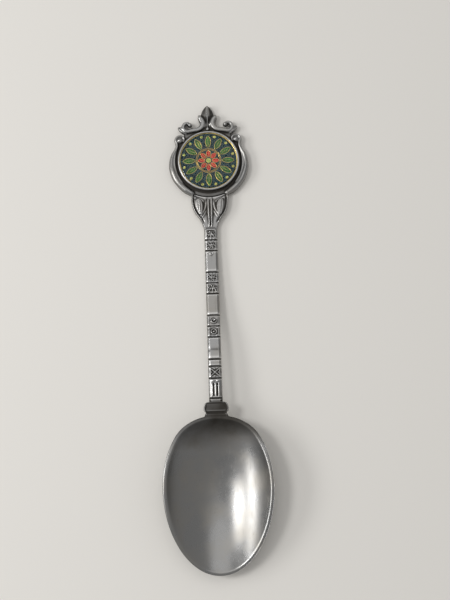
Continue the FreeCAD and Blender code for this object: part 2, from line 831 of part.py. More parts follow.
def flowers(body, name, make, margin, z=0, **options):
    for side, sideName in sides:
        sketch = newSketch(body, f"{name}_{sideName}_outline", "XY_Plane",
                           x=side * sizes["flowerX"], y=-sizes["flowerDrop"], z=z)
        drawCircle(sketch, 0, sizes["flowerRadius"], sizes["flowerPetalRadius"] + margin)
        first = make(body, f"{name}_{sideName}", sketch, **options)
        around(body, f"{name}_{sideName}_ring", [first], sketch, 360, flowerPetalCount)


def flowerFields(body, name, make, margin, z=0, **options):
    for side, sideName in sides:
        sketch = newSketch(body, f"{name}_{sideName}_outline", "XY_Plane",
                           x=side * sizes["flowerX"], y=-sizes["flowerDrop"], z=z)
        drawCircle(sketch, 0, 0, sizes["flowerRadius"] + margin)
        make(body, f"{name}_{sideName}", sketch, **options)


motifs = (("ribbon", ribbon), ("stem", sprigStem), ("leaf", leafFan), ("flower", flowers))


def makeBadgePlate():
    # raised wires part the cells that hold the enamel
    height = sizes["plateThickness"] + sizes["enamelDepth"]
    body = newDisc("badge_plate", badgeFloor, badgeRadius, sizes["plateThickness"])
    border = newSketch(body, "border_outline", "XY_Plane")
    drawCircle(border, 0, 0, badgeRadius)
    drawCircle(border, 0, 0, groundRadius)
    pad(body, "border", border, height)
    flowerFields(body, "flower_field", pad, 0, length=height)
    for name, motif in motifs:
        motif(body, f"{name}_wire", pad, sizes["wireWidth"], length=height)
    for name, motif in motifs:
        motif(body, f"{name}_cell", pocket, asSize(0), upward=True, z=sizes["plateThickness"])
    return body


def makeEnamelGround():
    body = newDisc("enamel_ground", enamelFloor, groundRadius - sizes["enamelClearance"],
                   sizes["enamelDepth"])
    flowerFields(body, "flower_field_gap", pocket, sizes["enamelClearance"], upward=True)
    for name, motif in motifs:
        motif(body, f"{name}_gap", pocket, sizes["wireWidth"] + sizes["enamelClearance"], upward=True)
    return body


def makeEnamel(label, motif):
    body = newBody(label, y=crestY, z=enamelFloor)
    motif(body, "fill", pad, -sizes["enamelClearance"], length=sizes["enamelDepth"])
    return body


def makeBadgeLens():
    body = newBody("badge_lens", y=crestY, z=enamelTop)
    profile = newSketch(body, "profile", "XZ_Plane")
    radius = (badgeRadius * badgeRadius + sizes["lensRise"] * sizes["lensRise"]) / (2 * sizes["lensRise"])
    drawPath(profile, [(0, 0), (badgeRadius, 0), (badgeRadius, sizes["lensEdge"], radius),
                       (0, sizes["lensEdge"] + sizes["lensRise"])], True)
    turned(body, "Revolution", "dome", profile, (profile, ["V_Axis"]))
    return body


subParts = [
    makeSpoonBlank(),
    makeCrestFrame(),
    makeCrestSolder(),
    makeBadgeCup(),
    newDisc("badge_adhesive", badgeFloor - sizes["adhesiveThickness"], badgeRadius,
            sizes["adhesiveThickness"]),
    makeBadgePlate(),
    makeEnamelGround(),
    makeEnamel("enamel_ribbon", ribbon),
    makeEnamel("enamel_stem", sprigStem),
    makeEnamel("enamel_leaves", leafFan),
    makeEnamel("enamel_flowers", flowers),
    makeBadgeLens(),
]

document.recompute()
broken = [item.Name for item in document.Objects
          if "Invalid" in item.State or "Error" in item.State]
broken += [body.Label for body in subParts if body.Shape.isNull() or not body.Shape.isValid()]
if broken:
    raise RuntimeError("failed: " + ", ".join(broken))

os.makedirs("parts", exist_ok=True)
for body in subParts:
    body.Shape.exportStep(os.path.join("parts", body.Label + ".step"))
    print(body.Label, len(body.Shape.Solids), round(body.Shape.Volume, 2))
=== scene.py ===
import math

import bpy
import numpy as np
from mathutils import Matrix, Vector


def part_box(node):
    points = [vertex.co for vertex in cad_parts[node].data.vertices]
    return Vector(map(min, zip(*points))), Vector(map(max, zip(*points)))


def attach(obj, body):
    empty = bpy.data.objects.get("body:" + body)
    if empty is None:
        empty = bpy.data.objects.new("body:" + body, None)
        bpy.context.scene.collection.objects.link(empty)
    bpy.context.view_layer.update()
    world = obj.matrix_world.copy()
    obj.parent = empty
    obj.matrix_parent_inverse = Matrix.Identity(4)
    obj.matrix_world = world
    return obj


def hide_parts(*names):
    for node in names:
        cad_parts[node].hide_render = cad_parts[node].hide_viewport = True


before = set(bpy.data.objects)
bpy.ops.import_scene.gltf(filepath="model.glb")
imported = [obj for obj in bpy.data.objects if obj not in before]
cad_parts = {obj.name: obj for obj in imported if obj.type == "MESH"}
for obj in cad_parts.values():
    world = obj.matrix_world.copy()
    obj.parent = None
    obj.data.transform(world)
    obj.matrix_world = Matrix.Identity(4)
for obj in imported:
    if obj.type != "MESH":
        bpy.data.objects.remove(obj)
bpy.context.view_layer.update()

# A plated souvenir spoon on a pale table. Shapes are worked out in millimetres and
# written into the meshes in metres. X is across, +Y towards the crest, +Z up.
mm = 0.001


def boxOf(node):
    # the node's low and high corners in millimetres
    return np.array(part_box(node)) / mm


def smoothStep(low, high, value):
    # 0 below low, 1 above high, and 3t^2 - 2t^3 between
    t = np.clip((value - low) / (high - low), 0, 1)
    return t * t * (3 - 2 * t)


def softMin(a, b, reach):
    # the lower of two heights, rounded where they are within reach of each other
    gap = np.maximum(reach - np.abs(a - b), 0) / reach
    return np.minimum(a, b) - gap * gap * reach / 4


def softMax(a, b, reach):
    return -softMin(-a, -b, reach)


def fullTurn(count):
    # evenly spaced angles
    return np.linspace(0, 2 * math.pi, count, endpoint=False)


def ridge(distance, width):
    # a rounded raised line: 1 on the line, falling as a bell curve
    return np.exp(-(distance / width) ** 2)


def gridParts(points):
    # points[i, j] is point j of ring i; each ring is closed, and each end gets a centre point
    rings, around = points.shape[:2]
    index = np.arange(rings * around).reshape(rings, around)
    right = np.roll(index, -1, axis=1)
    quads = np.stack([index[:-1], right[:-1], right[1:], index[1:]], axis=-1)
    first, last = np.full(around, rings * around), np.full(around, rings * around + 1)
    faces = quads.reshape(-1, 4).tolist()
    faces += np.stack([right[0], index[0], first], axis=-1).tolist()
    faces += np.stack([index[-1], right[-1], last], axis=-1).tolist()
    centres = np.array([points[0].mean(axis=0), points[-1].mean(axis=0)])
    return np.vstack([points.reshape(-1, 3), centres]), faces


def joinParts(parts):
    # several closed shells as one list of points and faces
    verts, faces, count = [], [], 0
    for partVerts, partFaces in parts:
        verts.append(partVerts)
        faces += [[corner + count for corner in face] for face in partFaces]
        count += len(partVerts)
    return np.vstack(verts), faces


def readAll(items, field, width, kind=np.float32):
    # one field of every item, as rows of this width
    flat = np.empty(len(items) * width, dtype=kind)
    items.foreach_get(field, flat)
    return flat.reshape(-1, width)


def readPoints(mesh):
    return readAll(mesh.vertices, "co", 3).astype(np.float64)


def signedVolume(mesh):
    mesh.calc_loop_triangles()
    corners = readAll(mesh.loop_triangles, "vertices", 3, np.int32)
    a, b, c = readPoints(mesh)[corners].transpose(1, 0, 2)
    return np.einsum("ij,ij->i", a, np.cross(b, c)).sum() / 6


def addObject(name, data):
    made = bpy.data.objects.new(name, data)
    bpy.context.scene.collection.objects.link(made)
    return made


def makePiece(name, parts, replaced):
    # a piece on the root body, in the place of the CAD node it replaces, which it hides
    verts, faces = parts
    mesh = bpy.data.meshes.new(name)
    mesh.from_pydata((verts * mm).tolist(), [], faces)
    if signedVolume(mesh) < 0:
        mesh.flip_normals()
    mesh.shade_smooth()
    piece = addObject(name, mesh)
    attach(piece, "root")
    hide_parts(replaced)
    return piece


def smoothedPoints(mesh, passes):
    # each pass moves every point half way to the mean of its neighbours
    values, edges = readPoints(mesh), readAll(mesh.edges, "vertices", 2, np.int32)
    count = len(values)
    degree = np.bincount(edges.ravel(), minlength=count)[:, None]
    for _ in range(passes):
        total = np.stack([
            np.bincount(edges[:, 0], values[edges[:, 1], axis], count)
            + np.bincount(edges[:, 1], values[edges[:, 0], axis], count)
            for axis in range(3)], axis=1)
        values = 0.5 * values + 0.5 * total / np.maximum(degree, 1)
    return values


def relax(piece, passes):
    mesh = piece.data
    mesh.vertices.foreach_set("co", smoothedPoints(mesh, passes).ravel())
    mesh.update()


def markPatinaAndShade(piece, passes, depth, shadeAndTarnish):
    # darkening: patina by how far each point lies under the smoothed surface, in depths, plus the
    #  painted shade and tarnish that the piece's own formula gives; edge: how far it stands out of
    #  that surface.
    #  The formula's second value scales both where only its own painted shade and tarnish should
    #  show
    mesh = piece.data
    points = readPoints(mesh)
    normals = readAll(mesh.vertex_normals, "vector", 3)
    moved = smoothedPoints(mesh, passes) - points
    under = np.einsum("ij,ij->i", moved, normals) / (depth * mm)
    shadedAndTarnished, keep = shadeAndTarnish(*(points / mm).T, normals[:, 2])
    masks = {"recess": keep * np.clip(under, 0, 1) + shadedAndTarnished,
             "edge": keep * np.clip(-under, 0, 1)}
    for label, values in masks.items():
        layer = mesh.attributes.new(label, "FLOAT", "POINT")
        layer.data.foreach_set("value", np.clip(values, 0, 1).astype(np.float32))


def followArcs(start, heading, arcs, spacing=0.06):
    # tangent arcs one after another in plan; each is (radius, degrees), and a negative radius
    # turns right. A point on an arc is its centre plus the radius, square to the heading there.
    points, angles, starts = [], [], []
    x, y, heading = start[0], start[1], math.radians(heading)
    for radius, degrees in arcs:
        starts.append(sum(map(len, points)))
        turn = math.copysign(math.radians(degrees), radius)
        count = max(int(abs(radius * turn) / spacing), 4)
        along = heading + turn * np.linspace(0, 1, count, endpoint=False)
        centreX, centreY = x - radius * math.sin(heading), y + radius * math.cos(heading)
        points.append(np.stack([centreX + radius * np.sin(along),
                                centreY - radius * np.cos(along)], axis=1))
        angles.append(along)
        heading += turn
        x, y = centreX + radius * math.sin(heading), centreY - radius * math.cos(heading)
    points.append(np.array([[x, y]]))
    angles.append(np.array([heading]))
    return np.vstack(points), np.concatenate(angles), starts


def strandParts(path, angles, halfWidth, height, base, sunk, around=20, crease=0.0):
    # a cast strand: a round-topped section carried along a flat path, closed by rounded ends.
    # Section: s = a cos(p), z = base + b sin(p) above and base + sunk sin(p) below; a crease
    # sinks the middle of its top.
    count = len(path)
    t = np.linspace(0, 1, count)
    reach = np.hypot(*np.diff(path, axis=0).T).sum()
    fromStart, fromEnd = t * reach, (1 - t) * reach
    a = np.interp(t, *halfWidth) if isinstance(halfWidth, tuple) else np.full(count, halfWidth)
    b = np.interp(t, *height) if isinstance(height, tuple) else np.full(count, height)
    for distance, radius in ((fromStart, a[0]), (fromEnd, a[-1])):
        inside = np.clip(1 - distance / radius, 0, 1)
        close = np.sqrt(np.clip(1 - inside * inside, 0.0004, 1))
        a, b = a * close, b * close
    phase = fullTurn(around)
    across = a[:, None] * np.cos(phase)
    lift = np.sin(phase)
    up = np.where(lift > 0, b[:, None] * lift, sunk * lift)
    up = up - crease * b[:, None] * ridge(np.cos(phase), 0.35) * (lift > 0)
    x = path[:, 0, None] - np.sin(angles)[:, None] * across
    y = path[:, 1, None] + np.cos(angles)[:, None] * across
    return gridParts(np.stack([x, y, base + up], axis=-1))


def blobParts(centre, radii, turn=0.0, rings=20, around=28, groove=0.0):
    # an ellipsoid, turned in plan; a groove sinks its top along its length
    polar = np.linspace(0.04, math.pi - 0.04, rings)[:, None]
    phase = fullTurn(around)[None, :]
    along = np.cos(polar) * radii[1] * np.ones_like(phase)
    across = np.sin(polar) * np.cos(phase) * radii[0]
    up = np.sin(polar) * np.sin(phase) * radii[2]
    up = up - groove * ridge(across / radii[0], 0.3) * (up > 0) * np.sin(polar)
    cosT, sinT = math.cos(math.radians(turn)), math.sin(math.radians(turn))
    x = centre[0] + cosT * across - sinT * along
    y = centre[1] + sinT * across + cosT * along
    return gridParts(np.stack([x, y, centre[2] + up], axis=-1))


def latheParts(profile, around=160):
    # a closed profile of (radius, height) turned about the badge's upright axis
    profile = np.array(profile, dtype=float)
    x = profile[:, 0, None] * np.cos(fullTurn(around))
    y = crestY + profile[:, 0, None] * np.sin(fullTurn(around))
    z = np.repeat(profile[:, 1, None], around, axis=1)
    return gridParts(np.stack([x, y, z], axis=-1))


def ringParts(radius, half, height, base, centre, around=96):
    # a round-topped ring, closed both ways: r = radius + half cos(p), z = base + height sin(p)
    section = 12
    phase, turn = fullTurn(section)[None, :], fullTurn(around)[:, None]
    reach = radius + half * np.cos(phase)
    points = np.stack([centre[0] + reach * np.cos(turn), centre[1] + reach * np.sin(turn),
                       base + height * np.sin(phase) + 0 * turn], axis=-1)
    index = np.arange(around * section).reshape(-1, section)
    right = np.roll(index, -1, axis=1)
    quads = [index, right, np.roll(right, -1, axis=0), np.roll(index, -1, axis=0)]
    return points.reshape(-1, 3), np.stack(quads, axis=-1).reshape(-1, 4).tolist()


def onCircle(radius, angle):
    # the place at this radius and angle from the badge's middle
    return radius * math.cos(angle), crestY + radius * math.sin(angle)


def onSide(side, path, angles):
    # the path itself, or the same path on the other side of the centre line
    return (path, angles) if side > 0 else (path * np.array([-1, 1]), math.pi - angles)


blankBox = boxOf("spoon_blank")
cupBox = boxOf("badge_cup")
cupRadius = (cupBox[1, 0] - cupBox[0, 0]) / 2
crestY = (cupBox[0, 1] + cupBox[1, 1]) / 2
moatWidth, bandWidth = 0.55, 1.9
bandRadius = cupRadius + moatWidth + bandWidth / 2
# the bracket's head follows the band at this radius
headRadius = bandRadius + 0.05

blank = {
    "bowlLength": 36.3, "bowlWidth": 25.53, "wall": 0.6, "tipToDeepest": 19.3,
    "sideRim": 6.385, "tipRim": 3.6, "neckRim": 5.3, "tipLand": 0.9,
    "heelLength": 4.8, "approachRadius": 38.2,
    "stemWidth": 3.15, "stemThickness": 1.35, "stemFootHeight": 1.65, "stemNeckHeight": 4.9,
    "bevelWidth": 0.56, "bevelDrop": 0.09, "panelRise": 0.25,
    "neckLength": 3.2, "earHalf": 2.85, "earRise": 2.0, "earRadius": 1.1,
    "notchHalf": 2.37, "notchRise": 0.8, "notchRadius": 0.8,
    "grooveWidth": 0.34, "grooveDepth": 0.34, "motifRise": 0.27, "fieldDrop": 0.16,
    "motifLength": 2.65, "plainLength": 5.35, "saltireLength": 2.8, "collarLength": 1.7,
    "bracketLength": 9.15, "bracketTopHalf": 4.4, "bracketWaistHalf": 3.65,
    "bracketWaistRise": 4.1, "bracketFlare": -9.0, "bracketSide": 8.0,
    "tongueLength": 4.5, "tongueHalf": 2.5, "tongueThickness": 0.6,
    "rimRound": 0.28, "backRound": 0.3,
    "acrossTop": 96, "acrossBack": 26,
}

tipY = blankBox[0, 1]
neckY = tipY + blank["bowlLength"]
deepY = tipY + blank["tipToDeepest"]
bracketTopY = crestY - math.sqrt(headRadius ** 2 - blank["bracketTopHalf"] ** 2)
footY = bracketTopY - blank["bracketLength"]
underside = blank["stemFootHeight"] - blank["stemThickness"]
axisZ = ((blank["bowlWidth"] / 2) ** 2 + blank["sideRim"] ** 2) / (2 * blank["sideRim"])


def circleThrough(a, b, c):
    # centre and radius of the circle through three points, from the two chord bisectors
    system = 2 * np.array([[b[0] - a[0], b[1] - a[1]], [c[0] - a[0], c[1] - a[1]]])
    right = np.array([b[0] ** 2 + b[1] ** 2 - a[0] ** 2 - a[1] ** 2,
                      c[0] ** 2 + c[1] ** 2 - a[0] ** 2 - a[1] ** 2])
    centre = np.linalg.solve(system, right)
    return centre, math.hypot(a[0] - centre[0], a[1] - centre[1])


def rimLine(y):
    # an arch in side view over the tip, the widest point and the neck
    centre, radius = circleThrough((tipY, blank["tipRim"]), (deepY, blank["sideRim"]),
                                   (neckY, blank["neckRim"]))
    return centre[1] + np.sqrt(np.maximum(radius ** 2 - (y - centre[0]) ** 2, 0))


def bowlLine(y, wall, land):
    # lowest line of the bowl: a long arc to the tip, and two tangent arcs up to the neck
    run, climb = blank["tipToDeepest"] - land, blank["tipRim"] - wall
    tipRadius = (run * run + climb * climb) / (2 * climb)
    toTip = wall + tipRadius - np.sqrt(np.maximum(tipRadius ** 2 - (y - deepY) ** 2, 0))
    heelY = neckY - blank["heelLength"]
    approach = blank["approachRadius"]
    lean = (heelY - deepY) / approach
    upright = math.sqrt(1 - lean * lean)
    heelZ = approach - approach * upright
    chord = (neckY - heelY, blank["neckRim"] - heelZ)
    heelRadius = (chord[0] ** 2 + chord[1] ** 2) / (2 * (upright * chord[1] - lean * chord[0]))
    centre = (heelY - heelRadius * lean, heelZ + heelRadius * upright)
    gentle = approach - np.sqrt(np.maximum((approach - wall) ** 2 - (y - deepY) ** 2, 0))
    inside = (heelRadius - wall) ** 2 - (y - centre[0]) ** 2
    steep = centre[1] - np.sqrt(np.maximum(inside, 0)) + 4 * np.maximum(-inside, 0)
    turnY = heelY - wall * lean
    toNeck = np.where(y < turnY, gentle, steep)
    return np.where(y < deepY, toTip, toNeck)


def bowlHeight(x, y, wall, land):
    # each cross-section is an arc about an axis high over the bowl
    radius = axisZ - bowlLine(y, wall, land)
    return axisZ - np.sqrt(np.maximum(radius ** 2 - x ** 2, 0.01))


def bowlHalf(y):
    inside = (axisZ - bowlLine(y, 0, 0)) ** 2 - (axisZ - rimLine(y)) ** 2
    return np.sqrt(np.maximum(inside, 0)) * (y <= neckY)


def stemLine(y):
    # an ogee of two equal arcs from the bracket up to the neck
    foot, top = footY - blank["motifLength"], neckY + blank["neckLength"] / 2
    rise, run = blank["stemNeckHeight"] - blank["stemFootHeight"], foot - top
    radius = (run * run + rise * rise) / (4 * rise)
    middle = (foot + top) / 2
    fromFoot, fromTop = (np.clip(gap, 0, run / 2) for gap in (foot - y, y - top))
    low = blank["stemFootHeight"] + radius - np.sqrt(radius ** 2 - fromFoot ** 2)
    high = blank["stemNeckHeight"] - radius + np.sqrt(radius ** 2 - fromTop ** 2)
    return np.where(y > middle, low, high)


def arcHalf(y, start, end, radius):
    # half-width along an arc between two (x, y) points; a positive radius bulges outwards
    dx, dy = end[0] - start[0], end[1] - start[1]
    chord = math.hypot(dx, dy)
    offset = math.copysign(math.sqrt(radius * radius - chord * chord / 4), radius)
    centreX = (start[0] + end[0]) / 2 - offset * dy / chord
    centreY = (start[1] + end[1]) / 2 + offset * dx / chord
    reach = np.sqrt(np.maximum(radius * radius - (y - centreY) ** 2, 0))
    return centreX + math.copysign(1, radius) * reach


def halfWidth(y):
    # plan half-width: bowl, flare, notch, ears, straight stem, and the bracket's two arcs
    half = blank["stemWidth"] / 2
    flare = (blank["notchHalf"] + blank["wall"], neckY - blank["wall"])
    notch = (blank["notchHalf"], neckY + blank["notchRise"])
    ear = (blank["earHalf"], neckY + blank["earRise"])
    top = (half, neckY + blank["neckLength"])
    foot = (half, footY)
    waist = (blank["bracketWaistHalf"], footY + blank["bracketWaistRise"])
    corner = (blank["bracketTopHalf"], bracketTopY)
    straight = flare[0] + (notch[0] - flare[0]) * (y - flare[1]) / (notch[1] - flare[1])
    width = np.select(
        [y < notch[1], y < ear[1], y < top[1], y < foot[1], y < waist[1]],
        [straight * (y > flare[1] - 1.2), arcHalf(y, notch, ear, blank["notchRadius"]),
         arcHalf(y, ear, top, blank["earRadius"]), half,
         arcHalf(y, foot, waist, blank["bracketFlare"])],
        arcHalf(y, waist, corner, blank["bracketSide"]))
    width = np.where(y < neckY + 0.4, softMax(width, bowlHalf(y), 0.5), width)
    return np.maximum(width, 0.02)


def grooveStops():
    # the grooves that cross the stem, from the bracket down
    first = footY - 0.05 - blank["motifLength"]
    second = first - blank["motifLength"]
    third = second - blank["plainLength"]
    pitch = 2 * blank["motifLength"] + blank["plainLength"]
    stops = [stop - turn * pitch for turn in range(3) for stop in (first, second, third)]
    stops += [stops[-1] - blank["collarLength"]]
    return stops + [stops[-1] - blank["saltireLength"]]


def arcRidge(x, y, centreX, centreY, radius, fromAngle, toAngle, width):
    # a raised arc: distance to a circle, faded over 14 degrees outside its angles
    angle = np.degrees(np.arctan2(y - centreY, x - centreX))
    offset, sweep = (angle - fromAngle) % 360, toAngle - fromAngle
    beyond = np.minimum(offset - sweep, 360 - offset)
    inside = np.where(offset <= sweep, 1.0, ridge(beyond, 14))
    return ridge(np.hypot(x - centreX, y - centreY) - radius, width) * inside


def dot(x, y, centreX, centreY, width):
    return ridge(np.hypot(x - centreX, y - centreY), width)


def highest(*reliefs):
    return np.maximum.reduce(reliefs)


def motifSpray(x, y):
    # a curved leaf spray and its mirror image: two arcs meet on each side of a middle rib
    side = np.abs(x)
    return highest(arcRidge(side, y, 0.62, 0.42, 0.44, 130, 330, 0.1),
                   arcRidge(side, y, 0.15, -0.75, 0.62, 10, 85, 0.1),
                   dot(side, y, 0.62, 0.5, 0.14), 0.8 * dot(side, y, 0.92, -0.9, 0.13),
                   0.7 * ridge(side, 0.1) * (y < 0.2))


def motifRing(x, y):
    # a ring with a boss in it, and a dot in each corner
    corners = dot(np.abs(x), np.abs(y), 0.88, 0.92, 0.15)
    return highest(ridge(np.hypot(x, y) - 0.62, 0.13), dot(x, y, 0, 0, 0.2), 0.8 * corners)


def motifSpiral(x, y):
    # a single curl that winds in on itself
    radius = np.hypot(x, y)
    turn = np.degrees(np.arctan2(y, x)) % 360 / 360
    curl = ridge(radius - (0.28 + 0.42 * turn), 0.12) * (radius < 0.95)
    return highest(curl, dot(x, y, 0.1, 0, 0.13))


def motifSaltire(x, y):
    # a cross of two diagonals with a boss and four dots
    slope = 0.86
    bars = [ridge((y + lean * x) / math.hypot(1, slope), 0.14) * (np.abs(y) < 1.15)
            for lean in (slope, -slope)]
    dots = [0.9 * dot(np.abs(x), np.abs(y), *place, 0.15) for place in ((0, 0.85), (0.8, 0))]
    return highest(*bars, *dots, dot(x, y, 0, 0, 0.26))


def stemRelief(x, y):
    # struck ornament in millimetres over the stem's panels; the field around a motif is sunk
    stops = grooveStops()
    relief = np.zeros_like(x)
    for stop in stops:
        relief = relief - blank["grooveDepth"] * ridge(y - stop, blank["grooveWidth"] * 0.5)
    tops = [footY - 0.05, *stops]
    # (panel, motif, 1 or -1 for upright or upside down)
    motifs = [(0, motifSpray, 1), (1, motifSpray, -1), (3, motifSpray, -1), (4, motifSpray, 1),
              (6, motifSpiral, 1), (7, motifRing, 1), (10, motifSaltire, 1)]
    for panel, motif, upright in motifs:
        top, bottom = tops[panel], tops[panel + 1]
        middle, reach = (top + bottom) / 2, (top - bottom) / 2
        inside = smoothStep(reach - 0.12, reach - 0.3, np.abs(y - middle))
        field = inside * smoothStep(1.08, 0.98, np.abs(x))
        struck = blank["motifRise"] * motif(x, upright * (y - middle))
        relief = relief + field * (struck - blank["fieldDrop"])
    # a small ring near the head of the first plain panel, and a soft band low on the last
    relief = relief + 0.1 * ridge(np.hypot(x, y - tops[2] + 0.75) - 0.3, 0.1)
    relief = relief - 0.06 * ridge(y - (tops[8] - 3.0), 0.5)
    # two lumps over a pair of flutes, and a groove across under them
    side = np.abs(x)
    relief = relief + 0.12 * dot(side, y, 0.55, stops[-1] - 0.55, 0.36)
    fluteTop = stops[-1] - 1.0
    flute = smoothStep(fluteTop, fluteTop - 0.4, y) * smoothStep(fluteTop - 3.4, fluteTop - 2.9, y)
    relief = relief + flute * (0.08 * ridge(side - 0.72, 0.16) - 0.3 * ridge(side - 0.42, 0.2))
    return relief - 0.22 * ridge(y - (fluteTop - 3.7), 0.18)


def bracketRelief(x, y, edge):
    # two lobes with long curved veins, a double rib down the middle with a groove beside it,
    # ribs that sweep out under the lobes, a raised border, a curl in each upper corner and a
    # small hollow drop over the foot
    side = np.abs(x)
    top = bracketTopY
    leafY, leafX, leafHalf, leafReach = top - 3.1, 2.5, 1.05, 2.45
    lean = side - leafX - 0.06 * (y - leafY)
    rise = (y - leafY) / leafReach
    girth = leafHalf * np.sqrt(np.clip(1 - rise ** 2, 0.02, 1)) * (1 + 0.18 * rise)
    across = lean / girth
    lobe = np.clip(1 - across ** 2, 0, 1) * smoothStep(1.0, 0.86, np.abs(rise))
    veins = np.cos(across * 11.5 + 0.4 * rise) * smoothStep(1.0, 0.75, np.abs(across))
    arch = arcRidge(side, y, leafX + 0.1, top - 1.8, 1.15, 30, 150, 0.19)
    leaf = np.maximum(lobe * (0.3 + 0.07 * veins), 0.15 * arch)
    rib = 0.3 * ridge(side - 0.27 - 0.02 * (y - footY), 0.17)
    rib = rib * smoothStep(footY + 0.3, footY + 1.5, y) * smoothStep(top + 0.5, top - 1.2, y)
    # the middle of the outer rib is x = 0.85 + 1.75 q^2.2, q from 0 at its top to 1 at its foot
    q = np.clip((top - 0.6 - y) / 5.8, 0, 1.15)
    gap = (side - 0.85 - 1.75 * q ** 2.2) / np.hypot(1, 0.66 * q ** 1.2)
    sweep = np.maximum(ridge(gap, 0.2), 0.8 * ridge(gap + 0.45, 0.18) * smoothStep(0.45, 0.75, q))
    sweep = 0.16 * sweep * smoothStep(1.12, 0.85, q) * smoothStep(0, 0.2, q)
    border = 0.26 * ridge(edge - 0.24, 0.17) - 0.14 * ridge(edge - 0.62, 0.2)
    border = border * smoothStep(footY + 1.2, footY + 2.4, y)
    tear = ridge(np.hypot(x, (y - footY - 1.3) * 0.42), 0.17) * -0.24
    curl = 0.36 * ridge(np.hypot(side - 3.62, y - top + 0.85), 0.42)
    groove = -0.12 * ridge(side - 0.6, 0.2) * smoothStep(top - 3.4, top - 1.5, y)
    return -0.1 + leaf + rib + sweep + border + tear + curl + groove


def cornerDrop(edge, radius, share=1):
    # what a round of this radius, or a share of it, takes off at a distance from the edge
    corner = np.clip(radius - edge, 0, radius) * share
    return radius - np.sqrt(radius ** 2 - corner ** 2)


def blankTop(x, y, half):
    # height of the worked side
    edge = half - np.abs(x)
    bevel = blank["bevelDrop"] + blank["panelRise"]
    stem = stemLine(y) + blank["panelRise"]
    onStem = smoothStep(neckY + 2.9, neckY + 3.3, y) * smoothStep(footY + 0.5, footY, y)
    stem = stem + onStem * stemRelief(x, y)
    stem = stem - onStem * bevel * np.clip(1 - edge / blank["bevelWidth"], 0, 1)
    onBracket = smoothStep(footY - 0.4, footY + 0.5, y)
    bracket = blank["stemFootHeight"] + 0.08 + bracketRelief(x, y, edge)
    bracket = bracket - 0.2 * smoothStep(0.25, 0, edge)
    plate = stem * (1 - onBracket) + bracket * onBracket
    neckTop = blank["stemNeckHeight"] + blank["panelRise"] - 0.16 * ridge(y - neckY - 0.75, 0.25)
    neckTop = neckTop - 0.14 * ridge(y - neckY - 3.0, 0.2) + 0.1 * ridge(edge - 0.2, 0.2)
    onNeck = smoothStep(neckY + 3.2, neckY + 2.7, y)
    plate = plate * (1 - onNeck) + neckTop * onNeck
    onBowl = smoothStep(neckY + 0.7, neckY - 0.7, y)
    plate = plate * (1 - onBowl) + rimLine(np.minimum(y, neckY)) * onBowl
    hollow = bowlHeight(x, np.minimum(y, neckY), blank["wall"], blank["tipLand"])
    hollow = np.where(y < neckY - 0.4, hollow, 99.0)
    return softMin(plate, hollow, 0.22) - cornerDrop(edge, blank["rimRound"])


def blankBack(x, y, half):
    # height of the plain back; the stem's own line rises out of the way over the bowl
    plate = stemLine(y) - blank["stemThickness"]
    spreadUp = 1.9 * smoothStep(1.9, 3.4, np.abs(x)) * (y < neckY)
    plate = plate + spreadUp + 2.5 * smoothStep(neckY - 1.6, neckY - 3.6, y)
    bowl = bowlHeight(x, np.minimum(y, neckY), 0, 0)
    back = softMin(plate, np.where(y < neckY, bowl, 99.0), 0.4)
    onStem = 1 - smoothStep(neckY - 0.5, neckY - 3.0, y)
    return back + cornerDrop(half - np.abs(x), blank["backRound"], onStem)


def stations():
    # where the sheet is sampled along y: closely where it is struck, widely elsewhere
    tip = tipY + 1.5 * np.linspace(0, 1, 26, endpoint=False) ** 2
    bowl = np.linspace(tipY + 1.5, neckY - 3.5, 120, endpoint=False)
    neck = np.arange(neckY - 3.5, neckY + 3.4, 0.09)
    tops = grooveStops()
    fineStep, bracketPitch, stemPitch, plainPitch = 0.02, 0.07, 0.08, 0.2
    fine = np.arange(neck[-1] + stemPitch, bracketTopY - 0.04, fineStep)
    pitch = np.where(fine > footY, bracketPitch, stemPitch)
    for panel in (1, 4, 7):
        plain = (fine < tops[panel] - 1.3) & (fine > tops[panel + 1] + 0.4)
        pitch = np.where(plain, plainPitch, pitch)
    steps = np.floor(np.cumsum(fineStep / pitch))
    return np.concatenate([tip, bowl, neck, fine[1:][np.diff(steps) > 0], [bracketTopY]])


def blankParts():
    # closed rings along y, each across the worked side and then along the back
    y = stations()[:, None]
    half = halfWidth(y)
    topV = np.sin(np.linspace(-1, 1, blank["acrossTop"]) * math.pi / 2)[None, :]
    backV = np.sin(np.linspace(1, -1, blank["acrossBack"]) * math.pi / 2)[None, :]
    topX, backX = half * topV, half * backV
    backZ = blankBack(backX, y + 0 * backX, half)
    topZ = np.maximum(blankTop(topX, y + 0 * topX, half),
                      blankBack(topX, y + 0 * topX, half) + 0.01)
    x = np.hstack([topX, backX])
    z = np.hstack([topZ, backZ])
    # the bracket's head is hollowed to follow the crest
    arch = crestY - np.sqrt(headRadius ** 2 - np.minimum(np.abs(x), 4.5) ** 2)
    follow = smoothStep(footY + 2.0, bracketTopY, y)
    head = np.stack([x, y + follow * (arch - bracketTopY), z], axis=-1)
    # the tongue goes on from the head as a thinner strip under the crest
    tongueX = np.hstack([topV, backV])[0] * blank["tongueHalf"]
    thick = np.concatenate([np.full(blank["acrossTop"], blank["tongueThickness"]),
                            np.zeros(blank["acrossBack"])]) + underside
    startY = head[-1, :, 1].min() - 0.02
    tongue = [np.stack([tongueX, np.full_like(tongueX, place), thick], axis=-1)
              for place in (startY, crestY - bandRadius + blank["tongueLength"])]
    return gridParts(np.concatenate([head, np.array(tongue)]))


